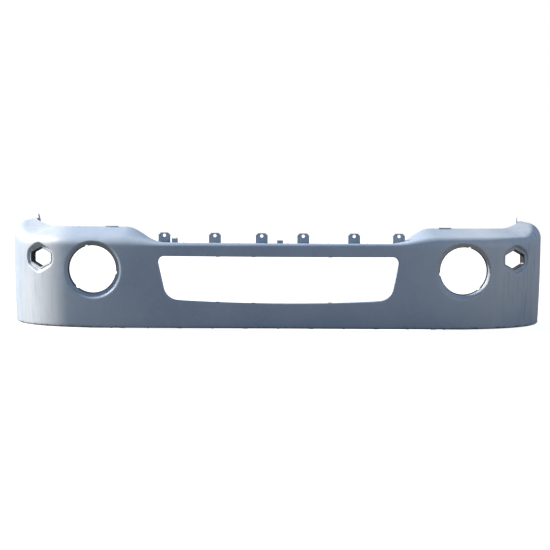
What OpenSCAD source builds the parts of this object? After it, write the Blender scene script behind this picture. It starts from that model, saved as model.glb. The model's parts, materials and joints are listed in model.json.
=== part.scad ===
// Front bumper cover for a pickup or large estate car, with its retainers, lamp rings and fasteners.
// X runs across the vehicle, Y runs rearwards from the front face, Z is up.
// The origin is on the ground plane of the cover, at the middle of its length and depth.

/* [Cover] */
// Overall width across the two wings
cover_w = 1890; // [1850:5:1940]
// Radius of the shallow crown across the front, seen from above
crown_r = 2400; // [2200:50:2800]
// Radius of the corners that turn the front into the wings, seen from above
corner_r = 330; // [300:5:345]
// Straight length of each wing behind its corner
wing_l = 56; // [52:1:70]
// Wall thickness of the moulding
wall = 3; // [2.5:0.5:4]
// How far the middle of the lower edge is above its ends
arch_h = 8; // [7:0.5:10]
// How far the lower edge is set back from the widest line of the face
tuck = 7; // [4:1:10]
// Depth of the flange turned in along the lower edge
lower_flange_d = 26; // [25:1:30]

/* [Shoulder] */
// Height at which the face starts to roll into the top ledge
roll_z = 276; // [270:1:282]
// Radius of the roll at the middle, over the air intake
lip_r = 13; // [12:0.5:16]
// Depth of the flat ledge at the middle
lip_d = 52; // [50:1:54]
// Radius of the roll over the lamps
shoulder_r = 38; // [32:1:44]
// Depth of the sloping ledge over the lamps
shoulder_d = 105; // [98:1:110]
// Slope of the ledge over the lamps, in degrees
shoulder_a = 19; // [16:1:22]
// Height at which the roll starts on the wings
wing_roll_z = 304; // [298:1:308]
// Radius of the roll on the wings
wing_r = 56; // [52:1:58]
// Depth of the ledge on the wings
wing_d = 76; // [74:1:80]
// Slope of the ledge on the wings, in degrees
wing_a = 12; // [10:1:15]

/* [Air intake] */
// Width of the opening at its top
intake_w = 798; // [780:2:810]
// Height of the top edge of the opening
intake_top_z = 245; // [240:1:250]
// Height of the bottom edge of the opening, at the middle
intake_low_z = 92; // [88:1:96]
// Depth of the flange turned in round the opening
intake_flange_d = 20; // [18:1:24]

/* [Fog lamps] */
// Distance of each fog lamp from the middle
fog_x = 629; // [624:1:634]
// Height of the fog lamps
fog_z = 196; // [190:1:198]
// Bore of the lamp ring
fog_bore_d = 160; // [156:1:164]
// Depth of the well from the face to its floor, on the lamp's axis
fog_depth = 42; // [38:1:46]

/* [Marker lamps] */
// Distance of each marker lamp from the middle
marker_x = 819; // [815:1:822]
// Height of the marker lamps
marker_z = 234; // [228:1:236]
// Width of the six-sided lamp opening
marker_w = 96; // [92:1:97]
// Height of the six-sided lamp opening
marker_h = 72; // [68:1:74]
// Angle that the lamp is turned outwards, in degrees
marker_a = 36; // [34:1:38]

/* [Upper tabs] */
// Width of each tab
tab_w = 40; // [36:1:42]
// Height of the top of the tabs
tab_top_z = 322; // [318:1:326]
// Height of the tab holes
tab_hole_z = 313; // [311:0.5:313]
// Diameter of the tab holes
tab_hole_d = 11; // [9:0.5:12]

/* [Hidden] */

primer = "#75869c";
black_plastic = "#202124";
zinc = "#b8bcc0";
dark_steel = "#4a4d52";

// Plan curve: a crown arc, a corner arc and a straight wing, measured by arc length from the middle
half_w = cover_w / 2;
crown_a = asin((half_w - corner_r) / (crown_r - corner_r));
crown_s = crown_r * crown_a * PI / 180;
corner_s = corner_r * (90 - crown_a) * PI / 180;
wing_y = crown_r * (1 - cos(crown_a)) + corner_r * cos(crown_a);
end_s = crown_s + corner_s + wing_l;
cover_d = wing_y + wing_l;

// Steel clips wrap the flange behind each wheel arch, so they set the overall depth
clip_t = 1;
arch_flange_y = cover_d - 0.5;
overall_d = arch_flange_y + clip_t;

// Where the ledge changes from the lip at the middle to the shoulder, and from the shoulder to the wing
lip_end_s = 385;
shoulder_start_s = 542;
shoulder_end_s = crown_s + 0.42 * corner_s;
wing_start_s = crown_s + 0.92 * corner_s;
arch_end_s = 640;

low_edge_r = 8;
rivet_d = 4;
pilot_d = 3;
clear_d = 8;

function clamp01(t) = max(0, min(1, t));
function ease(t) = let (c = clamp01(t)) c * c * (3 - 2 * c);
function mix(a, b, t) = a + (b - a) * t;

// Plan curve by arc length s, for s >= 0
function heading(s) = s < crown_s ? s / crown_r * 180 / PI
    : min(90, crown_a + (s - crown_s) / corner_r * 180 / PI);
function front_x(s) = s < crown_s ? crown_r * sin(heading(s))
    : half_w - corner_r * (1 - sin(heading(s)));
function front_y(s) = s < crown_s ? crown_r * (1 - cos(heading(s)))
    : wing_y - corner_r * cos(heading(s)) + max(0, s - crown_s - corner_s);

// Point of the cover at arc length s, a distance in from the plan curve and a height. Mirrored for s < 0
function place(s, in, z) = let (a = abs(s), side = s < 0 ? -1 : 1, h = heading(a))
    [side * (front_x(a) - in * sin(h)), front_y(a) + in * cos(h), z];

// Arc length of the crown or the corner at a distance x from the middle
function s_at_x(x) = x < crown_r * sin(crown_a) ? crown_r * asin(x / crown_r) * PI / 180
    : crown_s + corner_r * (asin(1 - (half_w - x) / corner_r) - crown_a) * PI / 180;

// The ledge's three dimensions along the cover: lip in the middle, shoulder, then wing
function along(s, lip, shoulder, wing) = let (a = abs(s),
    to_shoulder = ease((a - lip_end_s) / (shoulder_start_s - lip_end_s)),
    to_wing = ease((a - shoulder_end_s) / (wing_start_s - shoulder_end_s)))
    mix(mix(lip, shoulder, to_shoulder), wing, to_wing);
function roll_r(s) = along(s, lip_r, shoulder_r, wing_r);
function ledge_d(s) = along(s, lip_d, shoulder_d, wing_d);
function ledge_a(s) = along(s, 0, shoulder_a, wing_a);
function roll_start_z(s) = along(s, roll_z, roll_z, wing_roll_z);
function low_z(s) = arch_h * (1 - pow(clamp01(abs(s) / arch_end_s), 2));

// Height of the outer surface at the end of the roll and at the rear edge of the ledge
function roll_in(s) = roll_r(s) * (1 - sin(ledge_a(s)));
function roll_top_z(s) = roll_start_z(s) + roll_r(s) * cos(ledge_a(s));
function ledge_end_z(s) = roll_top_z(s) + (ledge_d(s) - roll_in(s)) * tan(ledge_a(s));

// Set-back of the face at a fraction f of its height
function face_in(f) = tuck * pow(1 - f, 2);

// Section of the outer surface, offset inwards by t: [distance in, height] from flange to ledge
low_steps = 3;
face_steps = 4;
roll_steps = 7;
function section(s, t) = let (r = roll_r(s), a = ledge_a(s), low = low_z(s), base = low + low_edge_r,
    start = roll_start_z(s))
    concat(
        [[tuck + lower_flange_d, low + t]],
        [for (i = [0:low_steps]) let (b = 90 * (1 - i / low_steps))
            [tuck + low_edge_r - (low_edge_r - t) * cos(b), base - (low_edge_r - t) * sin(b)]],
        [for (i = [1:face_steps - 1]) let (f = i / face_steps)
            [face_in(f) + t, mix(base, start, f)]],
        [for (i = [0:roll_steps]) let (b = (90 - a) * i / roll_steps)
            [r - (r - t) * cos(b), start + (r - t) * sin(b)]],
        [[ledge_d(s) + t * sin(a), ledge_end_z(s) - t * cos(a)]]
    );

function reversed(list) = [for (i = [len(list) - 1:-1:0]) list[i]];
function span(from, to, count) = [for (i = [0:count - 1]) mix(from, to, i / count)];

half_stations = concat(
    span(0, lip_end_s, 6),
    span(lip_end_s, shoulder_start_s, 8),
    span(shoulder_start_s, crown_s, 4),
    span(crown_s, crown_s + corner_s, 14),
    [crown_s + corner_s, crown_s + corner_s + wing_l / 2, end_s]
);
stations = concat([for (s = reversed(half_stations)) if (s > 0) -s], half_stations);

// Closed solid through rings of equal length. Each ring is one closed loop of points
module loft(rings) {
    n = len(rings[0]);
    last = len(rings) - 1;
    strip = [for (i = [0:last - 1], j = [0:n - 1]) let (k = (j + 1) % n)
        [i * n + j, i * n + k, (i + 1) * n + k, (i + 1) * n + j]];
    // The end faces are strips of four-sided faces between the ring's outer and inner halves
    ends = [for (j = [0:n / 2 - 2]) each [
        [j, n - 1 - j, n - 2 - j, j + 1],
        [last * n + j, last * n + j + 1, last * n + n - 2 - j, last * n + n - 1 - j]
    ]];
    polyhedron([for (ring = rings) each ring], concat(strip, ends), convexity = 10);
}

// Solid between the outer surface offset by two depths, over the given stations
module shell(t0, t1, at) {
    loft([for (s = at)
        [for (p = concat(section(s, t0), reversed(section(s, t1)))) place(s, p[0], p[1])]]);
}

// Everything from the middle of the wall to a fixed reach behind it. It trims the wells and dishes in front
core_reach = 150;
module core() {
    loft([for (s = stations) let (front = section(s, wall / 2))
        [for (p = concat(front, [for (q = reversed(front)) [core_reach, q[1]]])) place(s, p[0], p[1])]]);
}

// Layer behind the middle of the face, down to the given depth. It trims the flange of the intake
module face_layer(depth) {
    loft([for (s = stations) if (abs(s) < shoulder_start_s) let (low = low_z(s) + low_edge_r)
        [for (back = [0, 1], i = [0:face_steps]) let (f = (back == 0 ? i : face_steps - i) / face_steps)
            place(s, face_in(f) + (back == 0 ? wall / 2 : depth), mix(low, roll_z, f))]]);
}

// Children are drawn for the right side, and mirrored for the left
module on_side(side) {
    mirror([side < 0 ? 1 : 0, 0, 0]) children();
}

// Frames of the lamps. +Z local runs inwards along the lamp's axis
fog_y = front_y(s_at_x(fog_x));
module at_fog(side) {
    on_side(side) translate([fog_x, fog_y, fog_z]) rotate([-90, 0, 0]) children();
}

marker_y = front_y(s_at_x(marker_x));
module at_marker(side) {
    on_side(side) translate([marker_x, marker_y, marker_z])
        rotate([0, 0, marker_a]) rotate([-90, 0, 0]) children();
}

module ring_of(count, radius, first) {
    for (i = [0:count - 1]) rotate([0, 0, first + i * 360 / count]) translate([radius, 0, 0]) children();
}

// Fog lamp well: a tapered tube with a screw flange behind its floor
fog_well_r = 82;
fog_taper = 0.295;
fog_flange_r = 104;
fog_flange_t = 3;
fog_screw_r = 96;
fog_screws = 3;
fog_screw_first = 45;
fog_front = 70;
fog_sides = 76;

// Three notches that index the lamp go through the rim of the bore, in the moulding and in its ring.
// Their angles are as seen from the front
notch_r = 7;
notch_at_r = 77;
notch_angles = [75, 188, 311];
module fog_notches(z, h, sides) {
    for (a = notch_angles) rotate([0, 0, -a]) translate([notch_at_r, 0, z])
        cylinder(h = h, r = notch_r, $fn = sides);
}

module fog_cone(grow) {
    translate([0, 0, -fog_front])
        cylinder(h = fog_front + fog_depth, r1 = fog_well_r + grow + fog_taper * (fog_front + fog_depth),
            r2 = fog_well_r + grow, $fn = fog_sides);
}

module fog_well() {
    fog_cone(wall);
    translate([0, 0, fog_depth]) cylinder(h = fog_flange_t, r = fog_flange_r, $fn = fog_sides);
}

module fog_opening() {
    fog_cone(0);
    translate([0, 0, fog_depth - 1]) cylinder(h = 10, r = fog_well_r, $fn = fog_sides);
    fog_notches(fog_depth - 2, 12, 24);
    ring_of(fog_screws, fog_screw_r, fog_screw_first)
        translate([0, 0, fog_depth - 1]) cylinder(h = 6, d = rivet_d, $fn = 12);
}

// Marker lamp dish: a rounded six-sided recess with a flat floor and two screw bosses behind it
dish_w = 132;
dish_h = 98;
dish_depth = 14;
dish_round_r = 34;
dish_floor_scale = 0.9;
dish_front_scale = 1.44;
dish_front = 40;
boss_r = 5;
boss_h = 9;
boss_x = 56;

// Share of the height that the upright sides of the six-sided outlines take
hex_side = 0.45;

module six_sides(w, h, round_r) {
    offset(r = round_r) offset(delta = -round_r)
        polygon([for (p = [[1, hex_side], [0, 1], [-1, hex_side], [-1, -hex_side], [0, -1], [1, -hex_side]])
            [p[0] * w / 2, p[1] * h / 2]]);
}

module dish_outline(scale, grow) {
    offset(delta = grow) resize([dish_w * scale, dish_h * scale])
        six_sides(dish_w, dish_h * 1.1, dish_round_r);
}

module dish_solid(grow, deeper) {
    hull() {
        translate([0, 0, -dish_front]) linear_extrude(1) dish_outline(dish_front_scale, grow);
        translate([0, 0, dish_depth + deeper - 1]) linear_extrude(1) dish_outline(dish_floor_scale, grow);
    }
}

module marker_bosses() {
    for (x = [-boss_x, boss_x]) translate([x, 0, dish_depth + 1]) cylinder(h = boss_h, r = boss_r, $fn = 20);
}

module marker_pilots() {
    for (x = [-boss_x, boss_x]) translate([x, 0, dish_depth + wall]) cylinder(h = 20, d = pilot_d, $fn = 12);
}

module marker_hole() {
    translate([0, 0, -dish_front]) linear_extrude(dish_front + 60) six_sides(marker_w, marker_h, 8);
}

// Air intake: straight top, sides leaning in, and a bottom edge that sags slightly
intake_top_r = 20;
intake_low_r = 50;
intake_lean = 0.23;
intake_sag_r = 7500;
intake_low_x = intake_w / 2 - 68;

module intake_outline() {
    hull() {
        for (side = [-1, 1]) {
            translate([side * (intake_w / 2 - intake_top_r), intake_top_z - intake_top_r])
                circle(intake_top_r, $fn = 32);
            translate([side * intake_low_x, intake_low_z + 8 + intake_low_r]) circle(intake_low_r, $fn = 48);
        }
        polygon([for (x = [-intake_low_x:intake_low_x / 5:intake_low_x])
            [x, intake_low_z + x * x / (2 * intake_sag_r)]]);
    }
}

module along_y(from, to) {
    translate([0, to, 0]) rotate([90, 0, 0]) linear_extrude(to - from) children();
}

// Upper tabs stand in three pairs: [middle of the pair, half of the distance between its holes]
tab_pairs = [[11, 393], [20, 232], [13, 69]];
retainer_t = 2.5;
ledge_under_z = roll_z + lip_r - wall;
tab_gap = 0.5;

// Rear edge of the middle ledge at a distance x from the middle
function ledge_edge_y(x) = crown_r - sqrt(pow(crown_r - lip_d, 2) - x * x);
function pair_y(pair) = ledge_edge_y(abs(pair[0]) + pair[1] + tab_w / 2) + tab_gap;

upper_rivet_in = 36;
upper_rivet_s = [-322, -270, -134, 30, 167, 300, 356];

low_rivet_in = 22;
low_rivet_s = [-570, -440, -220, 0, 220, 440, 570];
low_nut_in = 24;
low_nut_s = [-530, -330, -110, 110, 330, 530];

// Rear flange of each wing, turned in behind the wheel arch
arch_flange_w = 24;
arch_flange_low = 14;
arch_flange_high = 268;
arch_nut_in = 14;
arch_nut_z = [60, 150, 240];

module arch_flange() {
    translate([half_w - arch_flange_w, arch_flange_y - wall, arch_flange_low])
        cube([arch_flange_w, wall, arch_flange_high - arch_flange_low]);
}

module arch_holes() {
    for (z = arch_nut_z) translate([half_w - arch_nut_in, arch_flange_y - 10, z])
        rotate([-90, 0, 0]) cylinder(h = 20, d = clear_d, $fn = 16);
}

// Two rests for the headlamps on the rear edge of the shoulders
rest_s = 600;
rest_w = 46;
rest_h = 2.5;
module lamp_rest() {
    translate(place(rest_s, ledge_d(rest_s) - wall - 1, ledge_end_z(rest_s) - wall))
        rotate([0, 0, heading(rest_s)]) translate([-rest_w / 2, 0, 0]) cube([rest_w, wall, rest_h + wall]);
}

// A line through the ledge or the flange of the cover for a fastener of diameter d
module through(s, in, z, d, sides = 12) {
    p = place(s, in, z);
    translate([p[0], p[1], p[2] - 10]) cylinder(h = 20, d = d, $fn = sides);
}

module skin_solid() {
    difference() {
        union() {
            shell(0, wall, stations);
            intersection() {
                core();
                for (side = [-1, 1]) {
                    at_fog(side) fog_well();
                    at_marker(side) dish_solid(wall, wall);
                    on_side(side) arch_flange();
                }
            }
            intersection() {
                face_layer(intake_flange_d);
                along_y(-10, 80) offset(delta = wall) intake_outline();
            }
            for (side = [-1, 1]) {
                at_marker(side) marker_bosses();
                on_side(side) lamp_rest();
            }
        }
        along_y(-20, 90) intake_outline();
        for (side = [-1, 1]) {
            at_fog(side) fog_opening();
            at_marker(side) dish_solid(0, 0);
            at_marker(side) marker_hole();
            at_marker(side) marker_pilots();
            on_side(side) arch_holes();
            on_side(side) wing_rivet_line(rivet_d, 12);
        }
        for (s = upper_rivet_s) through(s, upper_rivet_in, ledge_under_z, rivet_d);
        for (s = low_rivet_s) through(s, low_rivet_in, low_z(s), rivet_d);
        for (s = low_nut_s) through(s, low_nut_in, low_z(s), clear_d, 16);
    }
}

// The moulding is one closed mesh, because its surface is free-form
module bumper_skin() {
    color(primer) resize([0, 0, 0]) skin_solid();
}

// Steel strip under the middle ledge. Its six tabs stand up behind the ledge and carry the grille panel
strip_in = 26;
strip_half_a = 10.6;
tab_chamfer = 8;
foot_d = 26;

module tab() {
    high = tab_top_z - ledge_under_z + retainer_t;
    difference() {
        translate([0, retainer_t, 0]) rotate([90, 0, 0]) linear_extrude(retainer_t) polygon([
            [-tab_w / 2, 0], [tab_w / 2, 0], [tab_w / 2, high - tab_chamfer],
            [tab_w / 2 - tab_chamfer, high], [tab_chamfer - tab_w / 2, high], [-tab_w / 2, high - tab_chamfer]
        ]);
        translate([0, -5, tab_hole_z - ledge_under_z + retainer_t])
            rotate([-90, 0, 0]) cylinder(h = 15, d = tab_hole_d, $fn = 48);
    }
}

// The strip with a foot for every tab and locator, seen from above
module strip_outline() {
    angles = [for (i = [0:24]) mix(-strip_half_a, strip_half_a, i / 24)];
    polygon(concat(
        [for (a = angles) [(crown_r - strip_in) * sin(a), crown_r - (crown_r - strip_in) * cos(a)]],
        [for (a = reversed(angles)) [(crown_r - lip_d) * sin(a), crown_r - (crown_r - lip_d) * cos(a)]]
    ));
    for (pair = tab_pairs, side = [-1, 1])
        translate([pair[0] + side * pair[1] - tab_w / 2, pair_y(pair) - foot_d])
            square([tab_w, foot_d + retainer_t]);
    for (x = [centre_locator_x, side_locator_x])
        translate([x - locator_w / 2, locator_y(x) - foot_d]) square([locator_w, foot_d + locator_d]);
}

module upper_retainer() {
    color(primer) difference() {
        translate([0, 0, ledge_under_z - retainer_t]) union() {
            linear_extrude(retainer_t) strip_outline();
            for (pair = tab_pairs, side = [-1, 1])
                translate([pair[0] + side * pair[1], pair_y(pair), 0]) tab();
        }
        for (s = upper_rivet_s) through(s, upper_rivet_in, ledge_under_z, rivet_d, 32);
    }
}

// Blind rivet: flat head above, shank through the stack and upset end below
rivet_head_d = 8;
rivet_head_h = 1;
module rivet(grip) {
    cylinder(h = rivet_head_h, d1 = rivet_head_d, d2 = rivet_head_d - 2, $fn = 32);
    translate([0, 0, -grip]) cylinder(h = grip, d = rivet_d, $fn = 32);
    translate([0, 0, -grip - 1.5]) cylinder(h = 1.5, d = rivet_d + 2, $fn = 32);
}

module upper_retainer_rivets() {
    color(zinc) for (s = upper_rivet_s) translate(place(s, upper_rivet_in, ledge_under_z + wall))
        rivet(wall + retainer_t);
}

// Moulded locators that stand on the strip behind the ledge
centre_locator_x = 5;
side_locator_x = -347;
locator_w = 20;
locator_d = 12;
function locator_y(x) = ledge_edge_y(abs(x) + locator_w / 2) + tab_gap;

module locator(x, top_z) {
    translate([x - locator_w / 2, locator_y(x), ledge_under_z]) difference() {
        cube([locator_w, locator_d, top_z - ledge_under_z]);
        translate([4, 3, 3]) cube([locator_w - 8, locator_d, top_z]);
    }
}

module centre_locator() {
    color(primer) locator(centre_locator_x, 299);
}

module side_locator() {
    color(primer) union() {
        locator(side_locator_x, 303);
        translate([side_locator_x + locator_w / 2 - 2.5, locator_y(side_locator_x) + 1.5, 300])
            cylinder(h = 8, d = 3, $fn = 24);
    }
}

// Black ring screwed behind the well, with the notches right through its bore
ring_flange_t = 3;
ring_collar_t = 6;
ring_collar_l = 20;
ring_front = fog_depth + fog_flange_t;

module fog_lamp_ring() {
    translate([0, 0, ring_front]) difference() {
        union() {
            cylinder(h = ring_flange_t, r = fog_flange_r, $fn = 96);
            cylinder(h = ring_collar_l, d = fog_bore_d + 2 * ring_collar_t, $fn = 96);
        }
        translate([0, 0, -1]) cylinder(h = ring_collar_l + 2, d = fog_bore_d, $fn = 96);
        fog_notches(-1, ring_collar_l + 2, 32);
        ring_of(fog_screws, fog_screw_r, fog_screw_first) translate([0, 0, -1])
            cylinder(h = 6, d = rivet_d, $fn = 32);
    }
}

module fog_ring_screws() {
    ring_of(fog_screws, fog_screw_r, fog_screw_first) translate([0, 0, ring_front + ring_flange_t]) union() {
        translate([0, 0, -12]) cylinder(h = 12, d = rivet_d, $fn = 32);
        difference() {
            cylinder(h = 3, d = 9, $fn = 40);
            translate([-3, -0.6, 1.5]) cube([6, 1.2, 3]);
            translate([-0.6, -3, 1.5]) cube([1.2, 6, 3]);
        }
    }
}

// Black six-sided sleeve that carries the marker lamp, on the two bosses behind the dish
sleeve_t = 2.5;
sleeve_l = 18;
sleeve_gap = 0.3;
sleeve_seat = dish_depth + 1 + boss_h;

module sleeve_outline(grow) {
    six_sides(marker_w - 2 * sleeve_gap + 2 * grow, marker_h - 2 * sleeve_gap + 2 * grow, 8 + grow);
}

module marker_sleeve() {
    difference() {
        union() {
            translate([0, 0, dish_depth + 1]) linear_extrude(sleeve_l) sleeve_outline(0);
            translate([0, 0, sleeve_seat]) linear_extrude(sleeve_t) sleeve_outline(5);
            for (x = [-boss_x, boss_x]) translate([x, 0, sleeve_seat])
                cylinder(h = sleeve_t, r = 7, $fn = 40);
        }
        translate([0, 0, dish_depth]) linear_extrude(sleeve_l + 2) sleeve_outline(-sleeve_t);
        for (x = [-boss_x, boss_x]) translate([x, 0, sleeve_seat - 1])
            cylinder(h = sleeve_t + 2, d = pilot_d, $fn = 32);
    }
}

module marker_sleeve_screws() {
    for (x = [-boss_x, boss_x]) translate([x, 0, sleeve_seat + sleeve_t]) union() {
        translate([0, 0, -sleeve_t - 6]) cylinder(h = sleeve_t + 6, d = pilot_d, $fn = 32);
        difference() {
            cylinder(h = 2.5, d = 7, $fn = 40);
            translate([-2.5, -0.5, 1.2]) cube([5, 1, 2]);
            translate([-0.5, -2.5, 1.2]) cube([1, 5, 2]);
        }
    }
}

// Bracket under the ledge of each wing: sloping leaf, hanging leg, rear plate with a bolt hole, upright hook
bracket_l = 48;
bracket_t = 2.5;
bracket_gap_y = 4;
bracket_y = cover_d - bracket_l - bracket_gap_y;
bracket_end_y = bracket_y + bracket_l;
bracket_leaf_u = 27;
leg_l = 62;
plate_w = 44;
plate_hole_d = 9;
plate_hole_x = 24;
hook_h = 13.5;
wing_s = end_s;

// Point under the wing's ledge: a distance u down the slope from its inner edge, and a depth below it
function under_ledge(u, t) = let (a = ledge_a(wing_s), edge_x = half_w - ledge_d(wing_s))
    [edge_x + u * cos(a) - t * sin(a), ledge_end_z(wing_s) - u * sin(a) - t * cos(a)];
leg_top = under_ledge(-2, wall);
leg_x = leg_top[0];
plate_hole_z = leg_top[1] - leg_l + 20;

module bracket_leaf_and_leg() {
    polygon([
        leg_top, under_ledge(bracket_leaf_u, wall), under_ledge(bracket_leaf_u, wall + bracket_t),
        [leg_x + bracket_t, leg_top[1] - 4], [leg_x + bracket_t, leg_top[1] - leg_l],
        [leg_x, leg_top[1] - leg_l]
    ]);
}

// The hook stands up inside the ledge's edge and leans outwards at its tip
module bracket_hook() {
    polygon([
        [leg_x - bracket_t, leg_top[1] - 16], [leg_x - bracket_t, leg_top[1] + hook_h - 4],
        [leg_x + 1, leg_top[1] + hook_h + 3], [leg_x + 2, leg_top[1] + hook_h + 1],
        [leg_x, leg_top[1] + hook_h - 5], [leg_x + 1, leg_top[1] - 16]
    ]);
}

module wing_bracket() {
    difference() {
        union() {
            along_y(bracket_y, bracket_end_y) bracket_leaf_and_leg();
            along_y(bracket_y + 8, bracket_y + 22) bracket_hook();
            translate([leg_x, bracket_end_y - bracket_t, leg_top[1] - leg_l])
                cube([plate_w, bracket_t, leg_l - 22]);
        }
        translate([leg_x + plate_hole_x, bracket_end_y - 10, plate_hole_z])
            rotate([-90, 0, 0]) cylinder(h = 20, d = plate_hole_d, $fn = 48);
        wing_rivet_line(rivet_d, 32);
    }
}

// The wing rivets stand square to the sloping ledge
wing_rivet_u = 14;
module at_wing_rivets() {
    p = under_ledge(wing_rivet_u, 0);
    for (y = [bracket_y + 12, bracket_y + bracket_l - 12])
        translate([p[0], y, p[1]]) rotate([0, ledge_a(wing_s), 0]) children();
}

module wing_rivet_line(d, sides) {
    at_wing_rivets() translate([0, 0, -10]) cylinder(h = 20, d = d, $fn = sides);
}

module wing_bracket_rivets() {
    at_wing_rivets() rivet(wall + bracket_t);
}

// Clip nut: two steel leaves joined round the edge of a panel, with a threaded barrel on one of them.
// The panel's face is at Z = 0, its edge is at Y = 0 and it runs towards +Y
nut_w = 16;
nut_barrel_d = 9;
nut_barrel_h = 5;
nut_hole_d = 5;
module clip_nut(panel_t, hole_in, leaf_l) {
    difference() {
        union() {
            translate([-nut_w / 2, -clip_t, 0]) cube([nut_w, leaf_l, clip_t]);
            translate([-nut_w / 2, -clip_t, -panel_t - clip_t]) cube([nut_w, leaf_l, clip_t]);
            translate([-nut_w / 2, -clip_t, -panel_t - clip_t])
                cube([nut_w, clip_t, panel_t + 2 * clip_t]);
            translate([0, hole_in, 0]) cylinder(h = nut_barrel_h, d = nut_barrel_d, $fn = 40);
        }
        translate([0, hole_in, -panel_t - 5])
            cylinder(h = panel_t + nut_barrel_h + 10, d = nut_hole_d, $fn = 32);
    }
}

module wheel_arch_nuts() {
    for (z = arch_nut_z) translate([half_w - arch_flange_w, arch_flange_y - wall, z])
        rotate([90, 90, 0]) clip_nut(wall, arch_flange_w - arch_nut_in, 17);
}

module lower_flange_nuts() {
    edge_in = tuck + lower_flange_d;
    color(zinc) for (s = low_nut_s) translate(place(s, edge_in, low_z(s) + wall))
        rotate([0, 0, sign(s) * heading(abs(s)) + 180]) clip_nut(wall, edge_in - low_nut_in, 17);
}

// Black angle riveted on the lower flange. It stiffens the long lower edge
stiffener_t = 2;
stiffener_in = [16, 29];
stiffener_h = 16;
stiffener_end_s = 600;

module stiffener_solid() {
    loft([for (s = [-stiffener_end_s:30:stiffener_end_s]) let (z = low_z(s) + wall)
        [for (p = [
            [stiffener_in[1], z], [stiffener_in[0], z], [stiffener_in[0], z + stiffener_h],
            [stiffener_in[0] + stiffener_t, z + stiffener_h],
            [stiffener_in[0] + stiffener_t, z + stiffener_t], [stiffener_in[1], z + stiffener_t]
        ]) place(s, p[0], p[1])]]);
}

module lower_stiffener() {
    color(black_plastic) resize([0, 0, 0]) difference() {
        stiffener_solid();
        for (s = low_rivet_s) through(s, low_rivet_in, low_z(s), rivet_d);
        for (s = low_nut_s) translate(place(s, low_nut_in, low_z(s) + wall + 5))
            cube([nut_w + 6, 60, 10], center = true);
    }
}

module lower_stiffener_rivets() {
    color(zinc) for (s = low_rivet_s) translate(place(s, low_rivet_in, low_z(s) + wall + stiffener_t))
        rivet(wall + stiffener_t);
}

// Spring clips pushed over the rear edge of the intake's flange, above and below the opening
grille_clip_x = [-200, -82, 171];
grille_clip_w = 12;
grille_clip_l = 12;
module grille_clip(panel_t) {
    translate([-grille_clip_w / 2, -grille_clip_l, 0]) cube([grille_clip_w, grille_clip_l + clip_t, clip_t]);
    translate([-grille_clip_w / 2, -grille_clip_l, -panel_t - clip_t])
        cube([grille_clip_w, grille_clip_l + clip_t, clip_t]);
    translate([-grille_clip_w / 2, 0, -panel_t - clip_t])
        cube([grille_clip_w, clip_t, panel_t + 2 * clip_t]);
}

module intake_grille_clips() {
    color(dark_steel) {
        for (x = grille_clip_x) {
            y = front_y(s_at_x(abs(x))) + intake_flange_d;
            translate([x, y, intake_low_z + x * x / (2 * intake_sag_r)]) grille_clip(wall);
            translate([x, y, intake_top_z + wall]) grille_clip(wall);
        }
    }
}

// Each piece below is drawn with the front of the crown at Y = 0, then moved to the origin
module to_origin() {
    translate([0, -overall_d / 2, 0]) children();
}

to_origin() {
    bumper_skin();
    upper_retainer();
    upper_retainer_rivets();
    centre_locator();
    side_locator();
    color(black_plastic) at_fog(-1) fog_lamp_ring();  // fog_lamp_ring_left
    color(black_plastic) at_fog(1) fog_lamp_ring();  // fog_lamp_ring_right
    color(zinc) at_fog(-1) fog_ring_screws();  // fog_ring_screws_left
    color(zinc) at_fog(1) fog_ring_screws();  // fog_ring_screws_right
    color(black_plastic) at_marker(-1) marker_sleeve();  // marker_sleeve_left
    color(black_plastic) at_marker(1) marker_sleeve();  // marker_sleeve_right
    color(zinc) at_marker(-1) marker_sleeve_screws();  // marker_sleeve_screws_left
    color(zinc) at_marker(1) marker_sleeve_screws();  // marker_sleeve_screws_right
    color(primer) on_side(-1) wing_bracket();  // wing_bracket_left
    color(primer) on_side(1) wing_bracket();  // wing_bracket_right
    color(zinc) on_side(-1) wing_bracket_rivets();  // wing_bracket_rivets_left
    color(zinc) on_side(1) wing_bracket_rivets();  // wing_bracket_rivets_right
    color(zinc) on_side(-1) wheel_arch_nuts();  // wheel_arch_nuts_left
    color(zinc) on_side(1) wheel_arch_nuts();  // wheel_arch_nuts_right
    lower_stiffener();
    lower_stiffener_rivets();
    lower_flange_nuts();
    intake_grille_clips();
}
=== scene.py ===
import json
import math

import bmesh
import bpy
from mathutils import Matrix, Vector, geometry


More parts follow.
